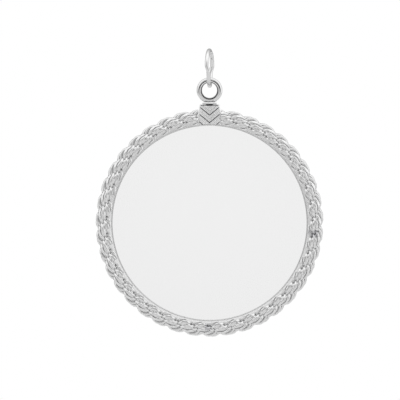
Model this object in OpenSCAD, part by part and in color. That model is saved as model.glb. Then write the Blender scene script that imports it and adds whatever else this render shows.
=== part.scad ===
// Disc pendant: a blank polished disc in a rim of twisted rope, hung from a chevron hanger by a jump ring.
// Millimetres. +Z is up and the pendant faces -Y, as it hangs.
// The origin is the inside top of the jump ring, where a chain bears.

/* [Disc] */
// Diameter of the flat disc
disc_d = 17.92; // [17.6:0.02:18]
// Thickness of the sheet that the disc is cut from
disc_t = 0.46; // [0.3:0.02:0.8]
// Bevel round both edges of the disc
disc_bevel = 0.05; // [0.02:0.01:0.1]

/* [Rope rim] */
// Diameter over the rope's outermost lobes
rim_d = 20.86; // [20.8:0.02:21.2]
// Distance from the rope's own axis to the axis of each strand
twist_r = 0.435; // [0.42:0.005:0.45]
// Radius of a strand over its links
strand_r = 0.415; // [0.38:0.005:0.42]
// Distance from the rope's middle plane to the crests that are polished flat, front and back
crest_y = 0.78; // [0.74:0.01:0.84]
// Turns that each strand would make round a closed rim
twist_turns = 19.5; // [18:0.5:21]
// Angle of the twist where the rim would cross the pendant's top
twist_phase = 107; // [0:1:360]

/* [Hanger] */
// Half width of the hanger beside the rope
hanger_foot_x = 1.00; // [0.9:0.01:1.01]
// Half width of the hanger at its top
hanger_top_x = 0.88; // [0.8:0.01:0.95]
// Thickness of the hanger, front to back, without its ribs
hanger_t = 1.22; // [1:0.02:1.4]
// Height of the hanger's top above the middle of the disc
hanger_top = 10.84; // [10.8:0.01:10.88]
// How far the V ribs stand out of each face
rib_h = 0.07; // [0.04:0.01:0.1]
// Distance from one V rib to the next, down the hanger
rib_pitch = 0.138; // [0.13:0.002:0.15]

/* [Eyelet] */
// Outer diameter of the eyelet
eyelet_d = 2.34; // [2.2:0.02:2.5]
// Wire diameter of the eyelet
eyelet_wire = 0.48; // [0.4:0.01:0.5]
// Height of the eyelet's centre above the middle of the disc
eyelet_rise = 12.12; // [12.05:0.01:12.2]

/* [Jump ring] */
// Outer diameter of the jump ring
ring_d = 3.6; // [3.3:0.05:4]
// Wire diameter of the jump ring
ring_wire = 0.36; // [0.3:0.01:0.4]
// Angle of the ring from exactly edge-on, its near side turned to the left
ring_turn = 9; // [0:1:20]

/* [Fits] */
// Gap between neighbouring pieces of the pendant
seam = 0.03; // [0.02:0.01:0.05]
// Play between the jump ring and the eyelet's hole
play = 0.1; // [0.08:0.01:0.15]

/* [Hidden] */

// Heights down from the origin
ring_mean_r = (ring_d - ring_wire) / 2;
ring_z = ring_wire / 2 - ring_mean_r;
ring_bottom_z = ring_z - ring_mean_r;
eyelet_mean_r = (eyelet_d - eyelet_wire) / 2;
eyelet_hole_r = eyelet_mean_r - eyelet_wire / 2;
eyelet_z = ring_bottom_z + ring_wire / 2 + play - eyelet_hole_r;
disc_z = eyelet_z - eyelet_rise;

// Rope: the strands follow the rim, turning about its axis
disc_r = disc_d / 2;
rim_inner_r = disc_r + seam;
rope_axis_r = rim_d / 2 - twist_r - strand_r;
rope_least_r = rope_axis_r - twist_r - strand_r;
seat_slope = 0.1;
pitch = 2 * PI * rope_axis_r / twist_turns;
twist_rate = 2 * PI / pitch;
lead = twist_rate * twist_r;
lead_norm = sqrt(1 + lead * lead);
section_points = 12;
crest_slope = 0.15;
rings_per_turn = 16;
rope_end_x = hanger_foot_x + seam;
end_margin_angle = 0.4;
end_steps = 6;
first_ring_angle = asin(rope_end_x / rim_inner_r) + end_margin_angle;
ring_count = ceil((360 - 2 * first_ring_angle) / 360 * twist_turns * rings_per_turn);
ring_step = (360 - 2 * first_ring_angle) / ring_count;

// Hanger block: how far its outline dips behind the disc's edge before it is hollowed, and its shoulder
foot_dip = 0.2;
shoulder_drop = 0.7;

// Chevrons: V ribs down the hanger, with every fifth one left out as a main groove
rib_w = 0.085;
rib_rows = [-12:6];
rows_per_groove = 5;
first_groove_z = 9.82;
rib_top_z = hanger_top - 0.2;
rib_run = 0.8;
rib_drop = 0.69;
rib_foot_margin = 0.06;

// Cross bar at the hanger's top, the neck behind it and the hollow in the face below it
bar_r = 0.08;
bar_len = 1.12;
bar_z = hanger_top + bar_r / 2;
neck_x = 0.5;
neck_h = 0.3;
neck_sunk = 0.1;
hollow_r = 0.72;
hollow_drop = 0.1;
hollow_depth = 0.2;

// Distance from the rope's axis to a point on a strand's section
function point_reach(a) = norm([twist_r + strand_r * cos(a), strand_r * sin(a) / lead_norm]);

// Angle about the rope's axis from the strand's middle to that point, in a plane across the rope
function point_swing(a) =
    atan2(strand_r * sin(a) / lead_norm, twist_r + strand_r * cos(a))
    + twist_rate * strand_r * sin(a) * lead / lead_norm * 180 / PI;

// Turn of a strand about the rope's axis at a place on the rim, 0 being next to the disc
function turn_at(theta, start) = twist_phase + start + twist_turns * theta;

// Distance from the disc's axis after the rope's inner side is filed nearly flat to meet the disc's edge
function seated(r) = max(r, rim_inner_r + seat_slope * (r - rope_least_r));

// Distance from the rope's middle plane after the crests are polished nearly flat
function polished(y) = sign(y) * min(abs(y), crest_y + crest_slope * (abs(y) - crest_y));

function rim_radius(theta, start, k) =
    let (a = 360 * k / section_points)
    seated(rope_axis_r - point_reach(a) * cos(turn_at(theta, start) + point_swing(a)));

function rim_point(theta, start, k) =
    let (
        a = 360 * k / section_points,
        r = rim_radius(theta, start, k),
        y = point_reach(a) * sin(turn_at(theta, start) + point_swing(a))
    )
    [r * sin(theta), polished(y), r * cos(theta)];

// Where a line of the strand meets the upright end plane beside the hanger, found in a few steps
function end_angle(guess, start, k, side, steps) =
    steps == 0 ? guess
    : end_angle(
        (side > 0 ? 0 : 360) + side * asin(rope_end_x / rim_radius(guess, start, k)), start, k, side, steps - 1);

function end_ring(start, side) = [
    for (k = [0:section_points - 1])
        let (guess = side > 0 ? first_ring_angle : 360 - first_ring_angle)
        rim_point(end_angle(guess, start, k, side, end_steps), start, k)
];

function inner_rings(start) = [
    for (i = [0:ring_count])
        for (k = [0:section_points - 1])
            rim_point(first_ring_angle + i * ring_step, start, k)
];

module strand(start) {
    n = section_points;
    last = ring_count + 2;
    points = concat(end_ring(start, 1), inner_rings(start), end_ring(start, -1));
    walls = [
        for (i = [0:last - 1])
            for (k = [0:n - 1])
                let (a = i * n + k, b = i * n + (k + 1) % n, c = a + n, d = b + n)
                each [[a, c, b], [b, c, d]]
    ];
    start_cap = [for (k = [0:n - 1]) k];
    end_cap = [for (k = [n - 1:-1:0]) last * n + k];
    translate([0, 0, disc_z])
        polyhedron(points = points, faces = concat(walls, [start_cap, end_cap]), convexity = 20);
}

module disc_plate() {
    color("gainsboro")
        translate([0, 0, disc_z])
            rotate([90, 0, 0])
                rotate_extrude($fn = 180)
                    polygon([
                        [0, -disc_t / 2], [disc_r - disc_bevel, -disc_t / 2], [disc_r, -disc_t / 2 + disc_bevel],
                        [disc_r, disc_t / 2 - disc_bevel], [disc_r - disc_bevel, disc_t / 2], [0, disc_t / 2]
                    ]);
}

module rope_strand_a() {
    color("silver") strand(0);
}

module rope_strand_b() {
    color("silver") strand(180);
}

// Outline of the hanger from the front, with its foot hollowed to the disc's edge
module hanger_outline() {
    difference() {
        polygon([
            [-hanger_foot_x, disc_r - foot_dip], [hanger_foot_x, disc_r - foot_dip],
            [hanger_foot_x, hanger_top - shoulder_drop], [hanger_top_x, hanger_top],
            [-hanger_top_x, hanger_top], [-hanger_foot_x, hanger_top - shoulder_drop]
        ]);
        circle(r = rim_inner_r, $fn = 180);
    }
}

// One V rib, its point down, at a height on the hanger's face
module v_rib(z) {
    polygon([
        [-rib_run, z + rib_drop], [0, z], [rib_run, z + rib_drop],
        [rib_run, z + rib_drop + rib_w], [0, z + rib_w], [-rib_run, z + rib_drop + rib_w]
    ]);
}

// The V ribs that stand on one face, trimmed to a margin inside the outline
module rib_field() {
    intersection() {
        union() {
            for (row = rib_rows)
                if (row % rows_per_groove != 0) v_rib(first_groove_z + row * rib_pitch - rib_w / 2);
        }
        difference() {
            translate([-rib_run, disc_r]) square([2 * rib_run, rib_top_z - disc_r]);
            circle(r = rim_inner_r + rib_foot_margin, $fn = 180);
        }
    }
}

// The block with a shallow hollow in the top of both faces
module hanger_block() {
    difference() {
        translate([0, 0, -hanger_t / 2]) linear_extrude(hanger_t) hanger_outline();
        for (side = [-1, 1])
            translate([0, hanger_top - hollow_drop + hollow_r, side * hanger_t / 2])
                cylinder(r = hollow_r, h = 2 * hollow_depth, center = true, $fn = 64);
    }
}

module hanger() {
    color("lightgray")
        translate([0, 0, disc_z]) {
            rotate([90, 0, 0]) {
                hanger_block();
                translate([0, 0, -hanger_t / 2 - rib_h]) linear_extrude(hanger_t + 2 * rib_h) rib_field();
                translate([-neck_x, hanger_top - neck_sunk, -eyelet_wire / 2])
                    cube([2 * neck_x, neck_h, eyelet_wire]);
            }
            for (y = [-hanger_t / 2 + bar_r, hanger_t / 2 - bar_r])
                translate([-bar_len / 2, y, bar_z])
                    rotate([0, 90, 0]) cylinder(r = bar_r, h = bar_len, $fn = 24);
            translate([0, 0, eyelet_rise])
                rotate([90, 0, 0])
                    rotate_extrude($fn = 96)
                        translate([eyelet_mean_r, 0]) circle(d = eyelet_wire, $fn = 32);
        }
}

module jump_ring() {
    color("silver")
        translate([0, 0, ring_z])
            rotate([0, 0, 90 - ring_turn])
                rotate([90, 0, 0])
                    rotate_extrude($fn = 96)
                        translate([ring_mean_r, 0]) circle(d = ring_wire, $fn = 32);
}

disc_plate();
rope_strand_a();
rope_strand_b();
hanger();
jump_ring();
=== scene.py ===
import logging
import math
from dataclasses import dataclass
from enum import Enum
from typing import Callable

import bmesh
import bpy
from mathutils import Matrix, Vector


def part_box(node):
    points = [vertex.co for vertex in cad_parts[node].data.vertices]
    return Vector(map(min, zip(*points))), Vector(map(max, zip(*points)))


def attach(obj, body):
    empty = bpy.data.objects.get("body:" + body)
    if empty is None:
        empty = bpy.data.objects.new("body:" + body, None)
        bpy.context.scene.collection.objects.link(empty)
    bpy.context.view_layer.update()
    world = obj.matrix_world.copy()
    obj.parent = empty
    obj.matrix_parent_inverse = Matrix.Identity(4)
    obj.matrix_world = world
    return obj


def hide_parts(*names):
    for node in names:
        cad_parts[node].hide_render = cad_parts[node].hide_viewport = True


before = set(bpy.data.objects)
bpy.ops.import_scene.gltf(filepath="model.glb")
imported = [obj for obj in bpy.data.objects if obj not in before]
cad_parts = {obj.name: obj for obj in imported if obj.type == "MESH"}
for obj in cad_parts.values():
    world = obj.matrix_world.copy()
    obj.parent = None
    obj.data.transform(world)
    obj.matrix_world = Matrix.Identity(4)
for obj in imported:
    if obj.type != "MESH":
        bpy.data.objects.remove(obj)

LOG = logging.getLogger("disc_pendant")
METRES_PER_MM = 0.001
# How near two places are that count as one, and how near a cut has to pass to a vertex to run through it.
NEAR_MM = 1e-4
CUT_TOLERANCE = 1e-5
GRAIN_DETAIL = 3.0
GRAIN_ROUGHNESS = 0.6
SHADE_OCCLUSION_SAMPLES = 8
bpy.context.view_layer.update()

Triple = tuple[float, float, float]


class Body(Enum):
    """The two bodies of the pendant's motion."""

    RING = "ring"
    PENDANT = "pendant"


class Slot(Enum):
    """The record's material slots."""

    DISC = "polished_disc"
    ROPE = "rope_metal"
    HANGER = "hanger_metal"
    RING = "ring_metal"


def linear_colour(hex_code: str) -> tuple[float, float, float, float]:
    """Turns an sRGB hex value into Blender's linear colour.

    Args:
        hex_code: Six hex digits, such as "F4F4F2".

    Returns:
        Red, green, blue and alpha, linear.
    """
    channels = [int(hex_code[i : i + 2], 16) / 255 for i in (0, 2, 4)]
    linear = [c / 12.92 if c <= 0.04045 else ((c + 0.055) / 1.055) ** 2.4 for c in channels]
    return (linear[0], linear[1], linear[2], 1.0)


def add_node(tree: bpy.types.NodeTree, kind: str, settings: dict, links: dict) -> bpy.types.Node:
    """Adds one shader node with its settings and its incoming links.

    Args:
        tree: The node tree of a material or of the world.
        kind: The node's type name.
        settings: Property names and values, and socket names or numbers with their values.
        links: Input socket names or numbers, each with the output socket that feeds it.

    Returns:
        The new node.
    """
    node = tree.nodes.new(kind)
    for name, value in settings.items():
        if isinstance(name, int) or name in node.inputs:
            node.inputs[name].default_value = value
        else:
            setattr(node, name, value)
    for name, source in links.items():
        tree.links.new(source, node.inputs[name])
    return node


@dataclass(frozen=True)
class RecessShade:
    """Painted shade: the darker colour that a finish takes where other metal within reach shuts it in.

    It is full where the open share of the surroundings is at most shut, and gone where it is at least clear.
    """

    colour: str
    reach_mm: float
    shut: float
    clear: float


@dataclass(frozen=True)
class MetalFinish:
    """A plated white metal, with the polish that its surface was given.

    The grain is drawn coarser than the real marks of polishing, which are too fine to show. The recess adds
    painted shade where other metal stands close.
    """

    name: str
    colour: str
    roughness: float
    spread: float
    grain_mm: float
    relief_mm: float
    recess: RecessShade | None = None

    def material(self) -> bpy.types.Material:
        """Builds the finish as a procedural material on Object coordinates, once.

        Returns:
            The material, which all pieces with this finish share.
        """
        if self.name in bpy.data.materials:
            return bpy.data.materials[self.name]
        made = bpy.data.materials.new(self.name)
        made.use_nodes = True
        tree = made.node_tree
        shader = tree.nodes["Principled BSDF"]
        shader.inputs["Metallic"].default_value = 1.0
        shader.inputs["Base Color"].default_value = linear_colour(self.colour)
        self.add_grain(tree, shader)
        # Painted shade where other metal stands close.
        if self.recess:
            self.paint_recess_shade(tree, shader, self.recess)
        return made

    def add_grain(self, tree: bpy.types.NodeTree, shader: bpy.types.Node) -> None:
        """Lets a fine grain vary the roughness and raise a slight relief.

        Args:
            tree: The material's node tree.
            shader: Its shader.
        """
        place = add_node(tree, "ShaderNodeTexCoord", {}, {})
        grain_scale = 1 / (self.grain_mm * METRES_PER_MM)
        grain = add_node(
            tree,
            "ShaderNodeTexNoise",
            {"Scale": grain_scale, "Detail": GRAIN_DETAIL, "Roughness": GRAIN_ROUGHNESS},
            {"Vector": place.outputs["Object"]},
        )
        rough = add_node(
            tree,
            "ShaderNodeMapRange",
            {"To Min": self.roughness - self.spread, "To Max": self.roughness + self.spread},
            {"Value": grain.outputs["Fac"]},
        )
        tree.links.new(rough.outputs["Result"], shader.inputs["Roughness"])
        bump = add_node(
            tree,
            "ShaderNodeBump",
            {"Strength": 1.0, "Distance": self.relief_mm * METRES_PER_MM},
            {"Height": grain.outputs["Fac"]},
        )
        tree.links.new(bump.outputs["Normal"], shader.inputs["Normal"])

    def paint_recess_shade(self, tree: bpy.types.NodeTree, shader: bpy.types.Node, recess: RecessShade) -> None:
        """Paints shade: mixes the recess colour in where other metal stands close.

        Args:
            tree: The material's node tree.
            shader: Its shader.
            recess: The painted shade's colour and its reach.
        """
        shade_occlusion = add_node(
            tree,
            "ShaderNodeAmbientOcclusion",
            {"samples": SHADE_OCCLUSION_SAMPLES, "Distance": recess.reach_mm * METRES_PER_MM},
            {},
        )
        openness = add_node(
            tree,
            "ShaderNodeMapRange",
            {"From Min": recess.shut, "From Max": recess.clear},
            {"Value": shade_occlusion.outputs["AO"]},
        )
        tone = add_node(
            tree,
            "ShaderNodeMix",
            {"data_type": "RGBA", 6: linear_colour(recess.colour), 7: linear_colour(self.colour)},
            {0: openness.outputs["Result"]},
        )
        tree.links.new(tone.outputs[2], shader.inputs["Base Color"])


# Rhodium plate over a mirror-polished sheet: an even, bright face with only the faintest haze.
MIRROR_PLATE = MetalFinish(
    "rhodium_mirror_sheet", "F6F6F6", roughness=0.08, spread=0.01, grain_mm=0.9, relief_mm=0.00002
)
# Rhodium plate over drawn wire: bright crests, slightly softened, with painted shade deep between the links.
DRAWN_WIRE = MetalFinish(
    "rhodium_drawn_wire", "F4F4F4", roughness=0.15, spread=0.04, grain_mm=0.16, relief_mm=0.002,
    recess=RecessShade("6C6C6E", reach_mm=0.5, shut=0.1, clear=0.5),
)
# Rhodium plate over filed solder: satin with a fine grain, a little duller than the polished disc, with
# painted shade where other metal stands close.
SOLDERED = MetalFinish(
    "rhodium_filed_solder", "E8E8E8", roughness=0.3, spread=0.06, grain_mm=0.1, relief_mm=0.004,
    recess=RecessShade("C0C0C2", reach_mm=0.2, shut=0.1, clear=0.4),
)
# Rhodium plate over struck ribs: a light satin that spreads the light, as the die left their crowns dull,
# with a little painted shade where other metal stands close.
STRUCK_RIBS = MetalFinish(
    "rhodium_struck_ribs", "FAFAFA", roughness=0.32, spread=0.05, grain_mm=0.12, relief_mm=0.002,
    recess=RecessShade("C8C8CA", reach_mm=0.05, shut=0.1, clear=0.5),
)
# Rhodium plate in the fine lines between the ribs: a softer satin whose greyer colour is painted shade that
# tells rib from rib, with more painted shade where other metal stands close.
FINE_LINE_SHADE = MetalFinish(
    "rhodium_fine_line_shade", "E8E8E8", roughness=0.4, spread=0.05, grain_mm=0.12, relief_mm=0.002,
    recess=RecessShade("D0D0D2", reach_mm=0.05, shut=0.1, clear=0.5),
)
# Rhodium plate in the struck grooves, which the polishing wheel doesn't reach: dull, and dark with painted
# shade.
GROOVE_FLOOR_SHADE = MetalFinish(
    "rhodium_groove_floor_shade", "707072", roughness=0.45, spread=0.05, grain_mm=0.12, relief_mm=0.002,
    recess=RecessShade("505052", reach_mm=0.1, shut=0.1, clear=0.6),
)
# Rhodium plate over a soldered joint: its links are coloured a little darker than the rest, with painted
# shade where other metal stands close.
DARKER_JOINT = MetalFinish(
    "rhodium_darker_joint", "D4D4D6", roughness=0.3, spread=0.08, grain_mm=0.12, relief_mm=0.003,
    recess=RecessShade("808082", reach_mm=0.4, shut=0.1, clear=0.7),
)
# Painted shadow, nearly black, in the deepest hollow and the eyelet's finest groove: nearly no light comes
# back from it.
PAINTED_SHADOW = MetalFinish(
    "painted_shadow_hollow", "2A2A2C", roughness=0.5, spread=0.05, grain_mm=0.12, relief_mm=0.002
)
# Rhodium plate over polished round wire: smooth and bright, darker only with painted shade where another
# piece hides it.
BRIGHT_WIRE = MetalFinish(
    "rhodium_bright_wire", "F4F4F4", roughness=0.1, spread=0.02, grain_mm=0.3, relief_mm=0.0005,
    recess=RecessShade("8C8C8E", reach_mm=0.5, shut=0.1, clear=0.7),
)


class Bench:
    """The steps that every piece is made with, in millimetres until it is finished."""

    @staticmethod
    def clear() -> None:
        """Leaves edit mode and deselects everything."""
        if bpy.context.mode != "OBJECT":
            bpy.ops.object.mode_set(mode="OBJECT")
        bpy.ops.object.select_all(action="DESELECT")

    @staticmethod
    def take(*pieces: bpy.types.Object) -> None:
        """Selects these objects alone, of which the first becomes the active one."""
        Bench.clear()
        for piece in pieces:
            piece.select_set(True)
        bpy.context.view_layer.objects.active = pieces[0]

    @staticmethod
    def place(piece: bpy.types.Object) -> None:
        """Writes the object's place, turn and scale into its mesh."""
        Bench.take(piece)
        bpy.ops.object.transform_apply(location=True, rotation=True, scale=True)

    @staticmethod
    def start(name: str, add: Callable[..., object], **settings: object) -> bpy.types.Object:
        """Adds the primitive that a piece starts from.

        Args:
            name: The piece's name.
            add: The operator that adds the primitive.
            **settings: The operator's settings.

        Returns:
            The primitive, with its place and turn in its mesh.
        """
        Bench.clear()
        add(**settings)
        piece = bpy.context.active_object
        piece.name = piece.data.name = name
        Bench.place(piece)
        return piece

    @staticmethod
    def move(piece: bpy.types.Object, location: Triple = (0, 0, 0), turn: Triple = (0, 0, 0)) -> None:
        """Turns a piece about the origin, then moves it, and writes both into its mesh.

        Args:
            piece: The object to move.
            location: How far it moves.
            turn: Its turn about X, Y and Z, in radians.
        """
        piece.location = location
        piece.rotation_euler = turn
        Bench.place(piece)

    @staticmethod
    def modify(piece: bpy.types.Object, kind: str, **settings: object) -> None:
        """Adds a modifier with these settings and applies it.

        Args:
            piece: The object to change.
            kind: The modifier's type.
            **settings: The modifier's properties.
        """
        Bench.take(piece)
        modifier = piece.modifiers.new(kind.lower(), kind)
        for name, value in settings.items():
            setattr(modifier, name, value)
        bpy.ops.object.modifier_apply(modifier=modifier.name)

    @staticmethod
    def bevel(piece: bpy.types.Object, width: float, segments: int, over_deg: float) -> None:
        """Rounds every edge that bends by more than an angle, with this many facets across the rounding."""
        angle = math.radians(over_deg)
        Bench.modify(piece, "BEVEL", width=width, segments=segments, limit_method="ANGLE", angle_limit=angle)

    @staticmethod
    def sweep(piece: bpy.types.Object, angle: float, steps: int, rise: float = 0.0, turns: int = 1) -> None:
        """Sweeps an outline round the Z axis.

        Args:
            piece: The outline.
            angle: The angle of one turn, in radians.
            steps: The number of steps in one turn.
            rise: How far one turn rises.
            turns: How many turns follow each other.
        """
        Bench.modify(
            piece, "SCREW", axis="Z", angle=angle, screw_offset=rise, iterations=turns,
            steps=steps, render_steps=steps,
        )

    @staticmethod
    def repeat(piece: bpy.types.Object, count: int, **offset: object) -> None:
        """Repeats a piece in a row, each time with the same offset from the one before."""
        Bench.modify(piece, "ARRAY", count=count, use_relative_offset=False, **offset)

    @staticmethod
    def pick(piece: bpy.types.Object, test: Callable[[Vector], bool]) -> None:
        """Goes into edit mode with some vertices selected.

        Args:
            piece: The object to edit.
            test: Whether a vertex at this place is one of them.
        """
        Bench.take(piece)
        bpy.ops.object.mode_set(mode="EDIT")
        bpy.ops.mesh.select_mode(type="VERT")
        bpy.ops.mesh.select_all(action="DESELECT")
        mesh = bmesh.from_edit_mesh(piece.data)
        for vertex in mesh.verts:
            vertex.select_set(test(vertex.co))
        mesh.select_flush(True)
        bmesh.update_edit_mesh(piece.data)

    @staticmethod
    def pick_all(piece: bpy.types.Object) -> None:
        """Goes into edit mode with everything selected."""
        Bench.take(piece)
        bpy.ops.object.mode_set(mode="EDIT")
        bpy.ops.mesh.select_all(action="SELECT")

    @staticmethod
    def saw(
        piece: bpy.types.Object, place: Triple | Vector, normal: Triple | Vector, close: bool = True
    ) -> None:
        """Cuts off what lies beyond a plane.

        Args:
            piece: The object to cut.
            place: A place on the plane.
            normal: The direction in which everything goes.
            close: Whether the cut is closed with a face.
        """
        Bench.pick_all(piece)
        bpy.ops.mesh.bisect(
            plane_co=place, plane_no=normal, use_fill=close, clear_outer=True, threshold=CUT_TOLERANCE
        )
        Bench.clear()

    @staticmethod
    def join(*pieces: bpy.types.Object) -> bpy.types.Object:
        """Joins pieces into one.

        Args:
            *pieces: The pieces, of which the first keeps its name.

        Returns:
            The joined piece.
        """
        Bench.take(*pieces)
        bpy.ops.object.join()
        return bpy.context.active_object

    @staticmethod
    def outward(piece: bpy.types.Object) -> None:
        """Turns every face to point outwards."""
        Bench.pick_all(piece)
        bpy.ops.mesh.normals_make_consistent(inside=False)
        Bench.clear()

    @staticmethod
    def soften(piece: bpy.types.Object, up_to_deg: float) -> None:
        """Shades a piece smooth across every edge that bends by no more than an angle."""
        Bench.take(piece)
        bpy.ops.object.shade_smooth_by_angle(angle=math.radians(up_to_deg))

    @staticmethod
    def cap(piece: bpy.types.Object) -> None:
        """Closes every open end of a piece with a face."""
        Bench.pick_all(piece)
        bpy.ops.mesh.select_all(action="DESELECT")
        bpy.ops.mesh.select_mode(type="EDGE")
        bpy.ops.mesh.select_non_manifold()
        bpy.ops.mesh.edge_face_add()
        Bench.clear()

    @staticmethod
    def cut(piece: bpy.types.Object, tool: bpy.types.Object) -> None:
        """Cuts a tool's shape out of a piece, and throws the tool away.

        Args:
            piece: The object to cut.
            tool: The closed mesh to cut with, whose finish the cut takes.
        """
        Bench.modify(
            piece, "BOOLEAN", object=tool, operation="DIFFERENCE", solver="EXACT", material_mode="TRANSFER"
        )
        bpy.data.objects.remove(tool)

    @staticmethod
    def dress(piece: bpy.types.Object, finish: MetalFinish) -> bpy.types.Object:
        """Gives a piece one finish all over.

        Args:
            piece: The object to dress.
            finish: Its finish.

        Returns:
            The same object.
        """
        piece.data.materials.clear()
        piece.data.materials.append(finish.material())
        return piece

    @staticmethod
    def dress_faces(
        piece: bpy.types.Object, finish: MetalFinish, test: Callable[[Vector, Vector], bool]
    ) -> None:
        """Gives some faces another finish.

        Args:
            piece: The object, which already has its main finish.
            finish: The finish of these faces.
            test: Whether a face with this middle and normal is one of them.
        """
        piece.data.materials.append(finish.material())
        Bench.take(piece)
        bpy.ops.object.mode_set(mode="EDIT")
        bpy.ops.mesh.select_mode(type="FACE")
        bpy.ops.mesh.select_all(action="DESELECT")
        mesh = bmesh.from_edit_mesh(piece.data)
        for face in mesh.faces:
            face.select_set(test(face.calc_center_median(), face.normal))
        bmesh.update_edit_mesh(piece.data)
        piece.active_material_index = len(piece.data.materials) - 1
        bpy.ops.object.material_slot_assign()
        Bench.clear()

    @staticmethod
    def finish(piece: bpy.types.Object, body: Body, node: str, slot: Slot) -> None:
        """Scales a dressed piece to metres and ties it to the frame.

        Args:
            piece: The finished mesh, in millimetres.
            body: The body that it moves with.
            node: The CAD node that it stands for.
            slot: The record's material slot; not used.
        """
        piece.scale = (METRES_PER_MM,) * 3
        Bench.place(piece)
        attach(piece, body.value)
        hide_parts(node)
        finishes = ", ".join(material.name for material in piece.data.materials)
        LOG.info("%s: %d faces, %s", piece.name, len(piece.data.polygons), finishes)


@dataclass(frozen=True)
class FrameSizes:
    """The sizes that the pieces share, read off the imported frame, in millimetres."""

    disc_z: float
    disc_r: float
    disc_t: float
    ring_top_z: float
    ring_low_z: float

    @staticmethod
    def read() -> "FrameSizes":
        """Reads the sizes from the nodes' boxes.

        Returns:
            The sizes.
        """
        disc_low, disc_high = (corner / METRES_PER_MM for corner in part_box("disc_plate"))
        ring_low, ring_high = (corner / METRES_PER_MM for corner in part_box("jump_ring"))
        return FrameSizes(
            disc_z=(disc_low.z + disc_high.z) / 2,
            disc_r=(disc_high.x - disc_low.x) / 2,
            disc_t=disc_high.y - disc_low.y,
            ring_top_z=ring_high.z,
            ring_low_z=ring_low.z,
        )


@dataclass
class DiscPlate:
    """The flat polished disc with its finely rounded edge, and the collar of solder round it."""

    sizes: FrameSizes
    bevel: float = 0.05
    face_inset: float = 0.05
    sides: int = 256
    solder_in_r: float = 8.94
    solder_step_r: float = 9.05
    solder_out_r: float = 9.33
    solder_low_y: float = 0.235
    solder_step_y: float = 0.46
    solder_high_y: float = 0.6
    solder_round: float = 0.02
    solder_sides: int = 240
    solder_end_x: float = 1.03

    def build(self) -> None:
        """Models the disc and the collar of solder that joins it to the rope."""
        disc = Bench.start(
            "engraving_disc",
            bpy.ops.mesh.primitive_cylinder_add,
            vertices=self.sides,
            radius=self.sizes.disc_r,
            depth=self.sizes.disc_t,
            rotation=(math.pi / 2, 0, 0),
            location=(0, 0, self.sizes.disc_z),
        )
        Bench.bevel(disc, width=self.bevel, segments=3, over_deg=60)
        self.keep_faces_flat(disc)
        # The collar's finish paints shade where other metal stands close.
        disc = Bench.join(Bench.dress(disc, MIRROR_PLATE), Bench.dress(self.solder_collar(), SOLDERED))
        Bench.outward(disc)
        Bench.soften(disc, up_to_deg=35)
        Bench.finish(disc, Body.PENDANT, "disc_plate", Slot.DISC)

    def keep_faces_flat(self, disc: bpy.types.Object) -> None:
        """Insets both faces, so that the soft shading of the rounded edge ends at the inset's edge.

        Args:
            disc: The disc, with its edge rounded.
        """
        half = self.sizes.disc_t / 2
        Bench.pick(disc, lambda place: abs(abs(place.y) - half) < NEAR_MM)
        bpy.ops.mesh.select_mode(type="FACE")
        bpy.ops.mesh.inset(thickness=self.face_inset, use_boundary=True)
        Bench.clear()

    def solder_collar(self) -> bpy.types.Object:
        """Models the collar of solder that rises from the disc's edge and fills the rope's inner side.

        Returns:
            The collar, open beside the hanger, with its ends closed.
        """
        middle_r = (self.solder_in_r + self.solder_out_r) / 2
        end_angle = math.asin(self.solder_end_x / self.sizes.disc_r)
        collar = Bench.start(
            "solder_collar", bpy.ops.mesh.primitive_plane_add, size=1, rotation=(math.pi / 2, 0, 0)
        )
        collar.scale = (self.solder_out_r - self.solder_in_r, 1, 2 * self.solder_low_y)
        Bench.move(collar, location=(middle_r, 0, 0))
        Bench.pick(collar, lambda place: place.x > middle_r)
        bpy.ops.transform.resize(value=(1, 1, self.solder_high_y / self.solder_low_y))
        Bench.pick_all(collar)
        bpy.ops.mesh.delete(type="ONLY_FACE")
        bpy.ops.mesh.select_all(action="SELECT")
        bpy.ops.mesh.subdivide(number_cuts=1)
        slanted_y = (self.solder_low_y + self.solder_high_y) / 2
        Bench.pick(collar, lambda place: abs(place.x - middle_r) < NEAR_MM)
        bpy.ops.transform.resize(value=(1, 1, self.solder_step_y / slanted_y))
        bpy.ops.transform.translate(value=(self.solder_step_r - middle_r, 0, 0))
        Bench.clear()
        Bench.move(collar, turn=(0, 0, math.pi / 2 + end_angle))
        Bench.sweep(collar, angle=2 * math.pi - 2 * end_angle, steps=self.solder_sides)
        Bench.cap(collar)
        Bench.bevel(collar, width=self.solder_round, segments=2, over_deg=12)
        Bench.move(collar, location=(0, 0, self.sizes.disc_z), turn=(math.pi / 2, 0, 0))
        return collar


class Strand(Enum):
    """The rope's two strands, each with its place in the twist, in degrees."""

    A = 0.0
    B = 180.0


@dataclass(frozen=True)
class SolderedJoint:
    """A soldered place in the rope: how far round from the top it is, its half width and its outer radius."""

    around_deg: float
    half_deg: float
    reach_r: float


@dataclass(frozen=True)
class FiledFlat:
    """A flat along both faces of the rope: its distance from the rope's axis, and its tilt from the face."""

    reach: float
    tilt_deg: float


# The crests polished flat on both faces, and the shoulders towards the rim's outer and inner side.
ROPE_FLATS = (
    FiledFlat(reach=0.76, tilt_deg=7.0),
    FiledFlat(reach=0.79, tilt_deg=-45.0),
    FiledFlat(reach=0.8, tilt_deg=40.0),
)
ROPE_JOINTS = (
    SolderedJoint(around_deg=96.0, half_deg=1.9, reach_r=9.95),
    SolderedJoint(around_deg=181.0, half_deg=1.4, reach_r=9.9),
)


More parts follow.
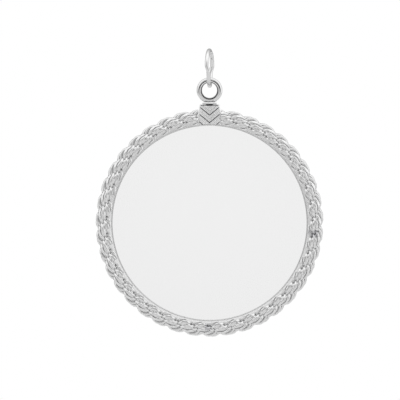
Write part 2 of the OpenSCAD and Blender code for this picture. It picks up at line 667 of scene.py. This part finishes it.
@dataclass
class RopeRim:
    """The rope round the disc: two strands of bent wire links that nest in each other as they twist."""

    sizes: FrameSizes
    rim_r: float = 10.43
    twist_r: float = 0.435
    strand_r: float = 0.415
    twist_turns: float = 19.5
    twist_phase_deg: float = 107.0
    seam: float = 0.03
    seat_slope: float = 0.1
    flats: tuple[FiledFlat, ...] = ROPE_FLATS
    flat_slope: float = 0.15
    joints: tuple[SolderedJoint, ...] = ROPE_JOINTS
    end_x: float = 1.03
    wire_r: float = 0.135
    links_per_turn: float = 12.0
    link_tilt_deg: float = 14.0
    link_overrun: float = 0.08
    link_segments: int = 44
    link_sides: int = 8
    core_r: float = 0.42
    core_offset: float = 0.25
    core_sides: int = 16
    core_steps: int = 24
    uneven_mm: float = 0.04
    uneven_size_mm: float = 0.5

    @property
    def axis_r(self) -> float:
        """Radius of the rope's own axis round the disc."""
        return self.rim_r - self.rope_r

    @property
    def rope_r(self) -> float:
        """Radius of the rope itself."""
        return self.twist_r + self.strand_r

    @property
    def pitch(self) -> float:
        """Length of rope in which a strand makes one turn."""
        return 2 * math.pi * self.axis_r / self.twist_turns

    @property
    def inner_r(self) -> float:
        """Radius at which the rope ends beside the disc's edge."""
        return self.sizes.disc_r + self.seam

    @property
    def seat_r(self) -> float:
        """Radius under which the rope's inner side is filed nearly flat."""
        least_r = self.axis_r - self.rope_r
        return (self.inner_r - self.seat_slope * least_r) / (1 - self.seat_slope)

    def build(self) -> None:
        """Models both strands."""
        for strand, node in ((Strand.A, "rope_strand_a"), (Strand.B, "rope_strand_b")):
            piece = Bench.join(self.links(strand, node + "_links"), self.core(strand))
            self.unsettle(piece)
            self.trim_ends(piece)
            self.seat(piece)
            self.file_flats(piece)
            self.bend_round(piece)
            Bench.outward(piece)
            Bench.soften(piece, up_to_deg=50)
            # The rope's finish paints shade deep between the links.
            Bench.dress(piece, DRAWN_WIRE)
            # A darker colour over the soldered joints.
            Bench.dress_faces(piece, DARKER_JOINT, lambda place, normal: self.at_joint(place))
            Bench.finish(piece, Body.PENDANT, node, Slot.ROPE)

    def at_joint(self, place: Vector) -> bool:
        """Finds out whether a place on the bent rope lies in one of its soldered joints.

        Args:
            place: The place, in millimetres.

        Returns:
            Whether it does.
        """
        across, up = place.x, place.z - self.sizes.disc_z
        around = math.degrees(math.atan2(across, up)) % 360
        return any(
            abs(around - joint.around_deg) < joint.half_deg and math.hypot(across, up) < joint.reach_r
            for joint in self.joints
        )

    def middle_deg(self, strand: Strand) -> float:
        """Gives the strand's turn about the rope's axis at the rim's lowest point."""
        return self.twist_phase_deg + strand.value + self.twist_turns * 180

    def links(self, strand: Strand, name: str) -> bpy.types.Object:
        """Models one link, a bent half ring of wire, and repeats it up the straight rope.

        Args:
            strand: Which of the two strands.
            name: The piece's name.

        Returns:
            The row of links, with the middle of the rope at the origin.
        """
        link = Bench.start(
            name,
            bpy.ops.mesh.primitive_torus_add,
            major_radius=self.rope_r - self.wire_r,
            minor_radius=self.wire_r,
            major_segments=self.link_segments,
            minor_segments=self.link_sides,
            rotation=(math.pi / 2, 0, 0),
        )
        Bench.saw(link, (-self.link_overrun, 0, 0), (-1, 0, 0))
        Bench.move(link, turn=(math.radians(self.link_tilt_deg), 0, 0))
        step = self.pitch / self.links_per_turn
        count = math.ceil(self.twist_turns * self.links_per_turn) + 1
        start_z = -(count - 1) / 2 * step
        start_turn = math.radians(self.middle_deg(strand) + 360 * start_z / self.pitch)
        Bench.move(link, location=(0, 0, start_z), turn=(0, 0, start_turn))
        bpy.ops.object.empty_add(location=(0, 0, step), rotation=(0, 0, 2 * math.pi / self.links_per_turn))
        offset = bpy.context.active_object
        Bench.repeat(link, count, use_object_offset=True, offset_object=offset)
        bpy.data.objects.remove(offset)
        return link

    def core(self, strand: Strand) -> bpy.types.Object:
        """Models the solid twist inside the links, which closes the rope's middle.

        Args:
            strand: Which of the two strands.

        Returns:
            The twist, with the middle of the rope at the origin.
        """
        core = Bench.start(
            "core", bpy.ops.mesh.primitive_circle_add, vertices=self.core_sides, radius=self.core_r
        )
        turns = math.ceil(self.twist_turns)
        lead = 2 * math.pi * self.core_offset / self.pitch
        low_z = -turns * self.pitch / 2
        Bench.move(core, location=(self.core_offset, 0, low_z), turn=(-math.atan(lead), 0, 0))
        Bench.move(core, turn=(0, 0, math.radians(self.middle_deg(strand) - 360 * turns / 2)))
        Bench.sweep(core, angle=2 * math.pi, steps=self.core_steps, rise=self.pitch, turns=turns)
        return core

    def unsettle(self, piece: bpy.types.Object) -> None:
        """Shifts the links a little against each other, as they lie in a rope closed by hand.

        Args:
            piece: The straight strand.
        """
        cloud = bpy.data.textures.new("uneven_lay", "CLOUDS")
        cloud.cloud_type = "COLOR"
        cloud.noise_scale = self.uneven_size_mm
        Bench.modify(
            piece, "DISPLACE", texture=cloud, texture_coords="LOCAL", direction="RGB_TO_XYZ",
            strength=self.uneven_mm, mid_level=0.5,
        )
        bpy.data.textures.remove(cloud)

    def trim_ends(self, piece: bpy.types.Object) -> None:
        """Cuts both ends on the slanted planes that stand upright beside the hanger once it is bent.

        Args:
            piece: The straight strand.
        """
        inner_run = math.pi - math.asin(self.end_x / self.inner_r)
        outer_run = math.pi - math.asin(self.end_x / self.rim_r)
        for side in (1, -1):
            inner = Vector((self.axis_r - self.inner_r, 0, side * self.axis_r * inner_run))
            outer = Vector((self.axis_r - self.rim_r, 0, side * self.axis_r * outer_run))
            normal = Vector((0, 1, 0)).cross(outer - inner).normalized() * side
            Bench.saw(piece, inner, normal)

    def seat(self, piece: bpy.types.Object) -> None:
        """Files the side that lies against the disc's edge nearly flat.

        Args:
            piece: The straight strand.
        """
        seat_x = self.axis_r - self.seat_r
        Bench.pick(piece, lambda place: place.x > seat_x)
        bpy.ops.transform.resize(value=(self.seat_slope, 1, 1), center_override=(seat_x, 0, 0))
        Bench.clear()

    def file_flats(self, piece: bpy.types.Object) -> None:
        """Files the flats on both faces, and whatever stands out past the rim.

        Args:
            piece: The straight strand.
        """
        for side in (-1, 1):
            for flat in self.flats:
                tilt = side * math.radians(flat.tilt_deg)
                Bench.move(piece, turn=(0, 0, tilt))
                Bench.pick(piece, lambda place: side * place.y > flat.reach)
                bpy.ops.transform.resize(
                    value=(1, self.flat_slope, 1), center_override=(0, side * flat.reach, 0)
                )
                Bench.clear()
                Bench.move(piece, turn=(0, 0, -tilt))
        outer_x = -self.rope_r
        Bench.pick(piece, lambda place: place.x < outer_x)
        bpy.ops.transform.resize(value=(0, 1, 1), center_override=(outer_x, 0, 0))
        Bench.clear()

    def bend_round(self, piece: bpy.types.Object) -> None:
        """Bends the straight rope into the rim, its ends at the top, round the disc's centre.

        Args:
            piece: The straight strand.
        """
        Bench.take(piece)
        heights = [vertex.co.z for vertex in piece.data.vertices]
        angle = (max(heights) - min(heights)) / self.axis_r
        Bench.modify(piece, "SIMPLE_DEFORM", deform_method="BEND", deform_axis="Y", angle=angle)
        Bench.move(piece, location=(-self.axis_r, 0, 0))
        Bench.move(piece, location=(0, 0, self.sizes.disc_z), turn=(0, -math.pi / 2, 0))


@dataclass(frozen=True)
class Repeat:
    """How often a row is repeated up the hanger's face, and how far apart."""

    count: int
    rise: float


@dataclass(frozen=True)
class VRow:
    """A V shaped line in the hanger's relief, with the way that it is repeated up the face."""

    tip_z: float
    width: float
    proud: float
    round_r: float
    lean_deg: float
    finish: MetalFinish
    repeats: tuple[Repeat, ...]


# The ribs, four to a group, which lean to catch the light.
RIB_ROWS = VRow(
    tip_z=7.87, width=0.11, proud=0.06, round_r=0.015, lean_deg=26.0, finish=STRUCK_RIBS,
    repeats=(Repeat(4, 0.15), Repeat(5, 0.69)),
)
# The low plinths under the ribs, two to a group, greyer with painted shade: the gap between two groups is a
# main groove.
PLINTH_ROWS = VRow(
    tip_z=7.945, width=0.28, proud=0.03, round_r=0.012, lean_deg=0.0, finish=FINE_LINE_SHADE,
    repeats=(Repeat(2, 0.3), Repeat(5, 0.69)),
)
# The plain end of the relief under the cross bar, greyer with painted shade.
TOP_FILL = VRow(
    tip_z=10.51, width=0.15, proud=0.03, round_r=0.015, lean_deg=0.0, finish=FINE_LINE_SHADE, repeats=()
)


@dataclass(frozen=True)
class Groove:
    """A groove in each face of the eyelet, with the place of the thin ring that it is cut with, and the
    painted shade that its walls take.
    """

    ring_r: float
    wire_r: float
    off_middle: float
    rise: float
    finish: MetalFinish


# The ring of painted shade inside the eyelet's crown, and the finer line of painted shadow over its upper
# half.
CROWN_GROOVE = Groove(ring_r=0.75, wire_r=0.075, off_middle=0.165, rise=-0.065, finish=GROOVE_FLOOR_SHADE)
UPPER_GROOVE = Groove(ring_r=1.0, wire_r=0.055, off_middle=0.275, rise=-0.12, finish=PAINTED_SHADOW)


@dataclass
class Hanger:
    """The cast hanger: a block with V ribs on both faces, its cross bars, and the eyelet soldered on it."""

    sizes: FrameSizes
    foot_x: float = 1.0
    top_x: float = 0.88
    block_t: float = 1.22
    top: float = 10.84
    shoulder_drop: float = 0.7
    foot_dip: float = 0.2
    seam: float = 0.03
    block_round: float = 0.09
    flat_face: float = 0.99
    relief: tuple[VRow, ...] = (RIB_ROWS, PLINTH_ROWS, TOP_FILL)
    rib_run: float = 0.92
    rib_drop: float = 0.756
    foot_margin: float = 0.02
    bar_r: float = 0.09
    bar_len: float = 1.3
    bar_rise: float = 0.1
    bar_flat: float = 0.4
    bar_round: float = 0.02
    bar_tilt_deg: float = 33.0
    neck_x: float = 0.5
    neck_h: float = 0.3
    neck_sunk: float = 0.1
    hollow_r: float = 0.62
    hollow_drop: float = 0.15
    hollow_depth: float = 0.25
    hollow_top_gap: float = 0.005
    hollow_wall_gap: float = 0.01
    eyelet_r: float = 1.17
    eyelet_wire: float = 0.48
    eyelet_rise: float = 12.12
    grooves: tuple[Groove, ...] = (CROWN_GROOVE, UPPER_GROOVE)

    def build(self) -> None:
        """Models the hanger round the disc's centre and lifts it to its place."""
        parts = [self.block()]
        for side in (-1, 1):
            parts.extend(self.v_rows(side, row) for row in self.relief)
            parts.append(Bench.dress(self.cross_bar(side), BRIGHT_WIRE))
        parts.append(Bench.dress(self.neck(), BRIGHT_WIRE))
        parts.append(self.eyelet())
        hanger = Bench.join(*parts)
        hanger.name = hanger.data.name = "chevron_hanger"
        Bench.move(hanger, location=(0, 0, self.sizes.disc_z))
        Bench.outward(hanger)
        Bench.soften(hanger, up_to_deg=40)
        Bench.finish(hanger, Body.PENDANT, "hanger", Slot.HANGER)

    def block(self) -> bpy.types.Object:
        """Models the block between the rope's ends, its foot fitted to the disc, a hollow below each bar,
        with painted shade in its grooves and painted shadow in its hollows.

        Returns:
            The block, dressed.
        """
        foot = self.sizes.disc_r - self.foot_dip
        block = Bench.start(
            "block",
            bpy.ops.mesh.primitive_cube_add,
            size=1,
            location=(0, 0, (foot + self.top) / 2),
            scale=(2 * self.foot_x, self.block_t, self.top - foot),
        )
        Bench.pick_all(block)
        bpy.ops.mesh.bisect(plane_co=(0, 0, self.top - self.shoulder_drop), plane_no=(0, 0, 1))
        Bench.pick(block, lambda place: place.z > self.top - NEAR_MM)
        bpy.ops.transform.resize(value=(self.top_x / self.foot_x, 1, 1), center_override=(0, 0, self.top))
        Bench.clear()
        Bench.bevel(block, width=self.block_round, segments=3, over_deg=40)
        Bench.cut(block, self.round_cutter(self.sizes.disc_r + self.seam, 2 * self.block_t, sides=180))
        hollow_z = self.top - self.hollow_drop
        for side in (-1, 1):
            centre = (0, side * self.block_t / 2, hollow_z + self.hollow_r)
            Bench.cut(block, self.round_cutter(self.hollow_r, 2 * self.hollow_depth, sides=64, centre=centre))
        Bench.dress(block, STRUCK_RIBS)
        # Painted shade on the block's flat faces, which show in the main grooves.
        Bench.dress_faces(block, GROOVE_FLOOR_SHADE, lambda place, normal: abs(normal.y) > self.flat_face)
        # Painted shadow inside the hollow below each bar.
        hollow_y = self.block_t / 2 - self.hollow_depth / 2 + self.hollow_wall_gap
        hollow_top = self.top - self.hollow_top_gap
        Bench.dress_faces(
            block,
            PAINTED_SHADOW,
            lambda place, normal: hollow_z < place.z < hollow_top and abs(place.y) < hollow_y,
        )
        return block

    @staticmethod
    def round_cutter(
        radius: float, depth: float, sides: int, centre: Triple = (0, 0, 0)
    ) -> bpy.types.Object:
        """Makes a cylinder along Y to cut with.

        Args:
            radius: Its radius.
            depth: Its length.
            sides: The number of its sides.
            centre: Its middle.

        Returns:
            The cutter.
        """
        return Bench.start(
            "cutter",
            bpy.ops.mesh.primitive_cylinder_add,
            vertices=sides,
            radius=radius,
            depth=depth,
            location=centre,
            rotation=(math.pi / 2, 0, 0),
        )

    def v_rows(self, side: int, row: VRow) -> bpy.types.Object:
        """Models one line of V on one face, and repeats it up the face.

        Args:
            side: -1 for the front face and 1 for the back.
            row: The line's place, section, finish and repeats.

        Returns:
            The rows, trimmed inside the block's outline and dressed.
        """
        slope = math.atan2(self.rib_drop, self.rib_run)
        length = math.hypot(self.rib_drop, self.rib_run) + row.width
        section = (length, 2 * row.proud, row.width * math.cos(slope))
        rows = Bench.start("v_rows", bpy.ops.mesh.primitive_cube_add, size=1, scale=section)
        Bench.bevel(rows, width=row.round_r, segments=3, over_deg=30)
        Bench.move(
            rows,
            location=(self.rib_run / 2, side * self.block_t / 2, row.tip_z + self.rib_drop / 2),
            turn=(side * math.radians(row.lean_deg), -slope, 0),
        )
        Bench.saw(rows, (0, 0, 0), (-1, 0, 0), close=False)
        Bench.modify(rows, "MIRROR", use_axis=(True, False, False), merge_threshold=NEAR_MM)
        for repeat in row.repeats:
            rise = (0, 0, repeat.rise)
            Bench.repeat(rows, repeat.count, use_constant_offset=True, constant_offset_displace=rise)
        self.trim_ribs(rows)
        return Bench.dress(rows, row.finish)

    def trim_ribs(self, ribs: bpy.types.Object) -> None:
        """Cuts the ribs off under the cross bar, at the sides, along the shoulders and round the foot.

        Args:
            ribs: The rows of one face.
        """
        Bench.saw(ribs, (0, 0, self.top - self.hollow_drop), (0, 0, 1))
        taper = (self.foot_x - self.top_x) / self.shoulder_drop
        for side in (-1, 1):
            corner = (side * self.rib_run, 0, self.top - self.shoulder_drop)
            for lean in (0.0, taper):
                Bench.saw(ribs, corner, Vector((side, 0, lean)).normalized())
        foot_r = self.sizes.disc_r + self.seam + self.foot_margin
        Bench.cut(ribs, self.round_cutter(foot_r, 2 * self.block_t, sides=180))

    def cross_bar(self, side: int) -> bpy.types.Object:
        """Models the flattened bar along the top edge of one face, tipped back to catch the light.

        Args:
            side: -1 for the front face and 1 for the back.

        Returns:
            The bar.
        """
        bar = Bench.start(
            "cross_bar",
            bpy.ops.mesh.primitive_cylinder_add,
            vertices=24,
            radius=self.bar_r,
            depth=self.bar_len,
            rotation=(0, math.pi / 2, 0),
        )
        bar.scale = (1, self.bar_flat, 1)
        Bench.place(bar)
        Bench.bevel(bar, width=self.bar_round, segments=2, over_deg=60)
        bar_y = side * (self.block_t / 2 - self.bar_r / 2)
        tilt = side * math.radians(self.bar_tilt_deg)
        Bench.move(bar, location=(0, bar_y, self.top + self.bar_rise), turn=(tilt, 0, 0))
        return bar

    def neck(self) -> bpy.types.Object:
        """Models the neck between the block and the eyelet."""
        return Bench.start(
            "neck",
            bpy.ops.mesh.primitive_cube_add,
            size=1,
            location=(0, 0, self.top - self.neck_sunk + self.neck_h / 2),
            scale=(2 * self.neck_x, self.eyelet_wire, self.neck_h),
        )

    def eyelet(self) -> bpy.types.Object:
        """Models the round eyelet with its grooves, which take painted shade.

        Returns:
            The eyelet, dressed.
        """
        eyelet = Bench.start(
            "eyelet",
            bpy.ops.mesh.primitive_torus_add,
            major_radius=self.eyelet_r - self.eyelet_wire / 2,
            minor_radius=self.eyelet_wire / 2,
            major_segments=96,
            minor_segments=32,
            rotation=(math.pi / 2, 0, 0),
            location=(0, 0, self.eyelet_rise),
        )
        Bench.dress(eyelet, BRIGHT_WIRE)
        for side in (-1, 1):
            for groove in self.grooves:
                Bench.cut(eyelet, self.groove_cutter(side, groove))
        return eyelet

    def groove_cutter(self, side: int, groove: Groove) -> bpy.types.Object:
        """Makes a thin ring to cut a groove in the eyelet with.

        Args:
            side: -1 for the front and 1 for the back.
            groove: The groove.

        Returns:
            The cutter, with the painted shade that the groove's walls take.
        """
        tool = Bench.start(
            "groove_cutter",
            bpy.ops.mesh.primitive_torus_add,
            major_radius=groove.ring_r,
            minor_radius=groove.wire_r,
            major_segments=96,
            minor_segments=12,
            rotation=(math.pi / 2, 0, 0),
            location=(0, side * groove.off_middle, self.eyelet_rise + groove.rise),
        )
        return Bench.dress(tool, groove.finish)


@dataclass
class JumpRing:
    """The jump ring: round wire bent to a ring and slightly twisted, its ends not quite in line."""

    sizes: FrameSizes
    wire: float = 0.36
    turn_deg: float = 7.0
    joint_gap: float = 0.02
    joint_step: float = 0.03
    joint_round: float = 0.02
    joint_deg: float = 64.0
    twist_deg: float = 5.5
    twist_from: float = 0.4
    twist_to: float = 0.55
    sides: int = 24
    steps: int = 120

    def build(self) -> None:
        """Models the ring by sweeping its wire round its axis, then stands it up and twists it."""
        outer_r = (self.sizes.ring_top_z - self.sizes.ring_low_z) / 2
        mean_r = outer_r - self.wire / 2
        ring = Bench.start(
            "jump_ring_wire",
            bpy.ops.mesh.primitive_circle_add,
            vertices=self.sides,
            radius=self.wire / 2,
            rotation=(math.pi / 2, 0, 0),
            location=(mean_r, 0, -self.joint_step / 2),
        )
        Bench.sweep(ring, 2 * math.pi - self.joint_gap / mean_r, self.steps, rise=self.joint_step)
        Bench.cap(ring)
        Bench.outward(ring)
        Bench.bevel(ring, width=self.joint_round, segments=2, over_deg=60)
        joint = Matrix.Rotation(math.radians(self.joint_deg), 4, "Z")
        edge_on = Matrix.Rotation(math.radians(90 - self.turn_deg), 4, "Z")
        ring.matrix_world = edge_on @ Matrix.Rotation(math.pi / 2, 4, "X") @ joint
        Bench.place(ring)
        Bench.modify(
            ring, "SIMPLE_DEFORM", deform_method="TWIST", deform_axis="Z",
            angle=-math.radians(self.twist_deg), limits=(self.twist_from, self.twist_to),
        )
        Bench.move(ring, location=(0, 0, (self.sizes.ring_top_z + self.sizes.ring_low_z) / 2))
        Bench.soften(ring, up_to_deg=40)
        Bench.dress(ring, BRIGHT_WIRE)
        Bench.finish(ring, Body.RING, "jump_ring", Slot.RING)


@dataclass(frozen=True)
class Shading:
    """A change of the light across the tent, towards one side.

    Each stop holds a share of the way, from the opposite side at 0 to this side at 1, and a brightness.
    """

    side: Triple
    stops: tuple[tuple[float, float], ...]


# The lamp stands at the upper right, and the lower left behind the pendant is dimmer.
LAMP = Shading((0.42, 0.0, 0.9075), ((0.0, 0.6), (0.33, 0.84), (0.5, 1.0), (0.75, 1.06), (1.0, 1.1)))
DIM_CORNER = Shading((-0.25, 0.66, -0.7085), ((0.0, 1.0), (0.6, 1.0), (0.85, 0.6), (1.0, 0.45)))
# The tent's brightness by the angle off the camera's axis, in degrees: white in front, dark round the lens.
TENT = (
    (0, 0.955), (5, 0.955), (9, 0.42), (34, 0.42), (50, 0.9), (90, 1.0), (112, 0.7), (140, 0.45), (180, 0.5)
)


@dataclass
class Studio:
    """The pale floor, the soft light and the camera, in millimetres."""

    floor_z: float = -60.0
    floor_r: float = 300.0
    floor_colour: str = "EDEDED"
    floor_roughness: float = 0.9
    camera_distance: float = 400.0
    frame_width: float = 36.588
    centre_x: float = -0.873
    centre_z: float = -13.506
    sensor: float = 36.0
    clip_near_m: float = 0.01
    clip_far_m: float = 10.0
    tent: tuple[tuple[float, float], ...] = TENT
    shadings: tuple[Shading, ...] = (LAMP, DIM_CORNER)

    def build(self) -> None:
        """Sets up the floor, the world and the camera."""
        self.floor()
        self.world()
        self.camera()
        bpy.context.scene.view_settings.view_transform = "Standard"

    def floor(self) -> None:
        """Lays the round pale floor well below the pendant."""
        floor = Bench.start(
            "studio_floor",
            bpy.ops.mesh.primitive_circle_add,
            vertices=128,
            radius=self.floor_r,
            fill_type="NGON",
            location=(0, 0, self.floor_z),
        )
        floor.scale = (METRES_PER_MM,) * 3
        Bench.place(floor)
        made = bpy.data.materials.new("matt_white_board")
        made.use_nodes = True
        shader = made.node_tree.nodes["Principled BSDF"]
        shader.inputs["Base Color"].default_value = linear_colour(self.floor_colour)
        shader.inputs["Roughness"].default_value = self.floor_roughness
        floor.data.materials.append(made)

    def world(self) -> None:
        """Surrounds the pendant with a soft white tent, darker round the camera."""
        world = bpy.data.worlds.new("light_tent")
        bpy.context.scene.world = world
        world.use_nodes = True
        tree = world.node_tree
        direction = add_node(tree, "ShaderNodeTexCoord", {}, {}).outputs["Generated"]
        axes = add_node(tree, "ShaderNodeSeparateXYZ", {}, {0: direction})
        stops = tuple(((1 - math.cos(math.radians(angle))) / 2, level) for angle, level in self.tent)
        light = self.ramp(tree, axes.outputs["Y"], stops)
        for shading in self.shadings:
            slant = add_node(
                tree, "ShaderNodeVectorMath", {"operation": "DOT_PRODUCT", 1: shading.side}, {0: direction}
            )
            shade = self.ramp(tree, slant.outputs["Value"], shading.stops)
            shaded = add_node(tree, "ShaderNodeVectorMath", {"operation": "MULTIPLY"}, {0: light, 1: shade})
            light = shaded.outputs["Vector"]
        rays = add_node(tree, "ShaderNodeLightPath", {}, {})
        seen = add_node(
            tree,
            "ShaderNodeMix",
            {"data_type": "RGBA", 7: (1.0, 1.0, 1.0, 1.0)},
            {0: rays.outputs["Is Camera Ray"], 6: light},
        )
        tree.links.new(seen.outputs[2], tree.nodes["Background"].inputs["Color"])

    @staticmethod
    def ramp(
        tree: bpy.types.NodeTree, cosine: bpy.types.NodeSocket, stops: tuple[tuple[float, float], ...]
    ) -> bpy.types.NodeSocket:
        """Gives each direction of the tent a brightness.

        Args:
            tree: The world's node tree.
            cosine: The cosine of the direction's angle to one side, from -1 to 1.
            stops: Places from 0 at the opposite side to 1 at that side, each with its brightness.

        Returns:
            The brightness.
        """
        share = add_node(tree, "ShaderNodeMapRange", {"From Min": -1.0, "From Max": 1.0}, {"Value": cosine})
        node = add_node(tree, "ShaderNodeValToRGB", {}, {0: share.outputs["Result"]})
        elements = node.color_ramp.elements
        elements[0].position = stops[0][0]
        elements[1].position = stops[-1][0]
        for place, _ in stops[1:-1]:
            elements.new(place)
        for element, (_, level) in zip(elements, stops):
            element.color = (level, level, level, 1.0)
        return node.outputs["Color"]

    def camera(self) -> None:
        """Points a long lens straight at the pendant's face."""
        data = bpy.data.cameras.new("camera")
        data.sensor_width = self.sensor
        data.lens = self.sensor * self.camera_distance / self.frame_width
        data.clip_start = self.clip_near_m
        data.clip_end = self.clip_far_m
        camera = bpy.data.objects.new("camera", data)
        bpy.context.scene.collection.objects.link(camera)
        camera.location = Vector((self.centre_x, -self.camera_distance, self.centre_z)) * METRES_PER_MM
        camera.rotation_euler = (math.pi / 2, 0, 0)
        bpy.context.scene.camera = camera


def main() -> None:
    """Builds the pendant piece by piece, then the studio round it."""
    logging.basicConfig(level=logging.INFO, format="%(name)s: %(message)s")
    sizes = FrameSizes.read()
    for part in (DiscPlate(sizes), RopeRim(sizes), Hanger(sizes), JumpRing(sizes)):
        part.build()
    Studio().build()


if __name__ == "__main__":
    main()
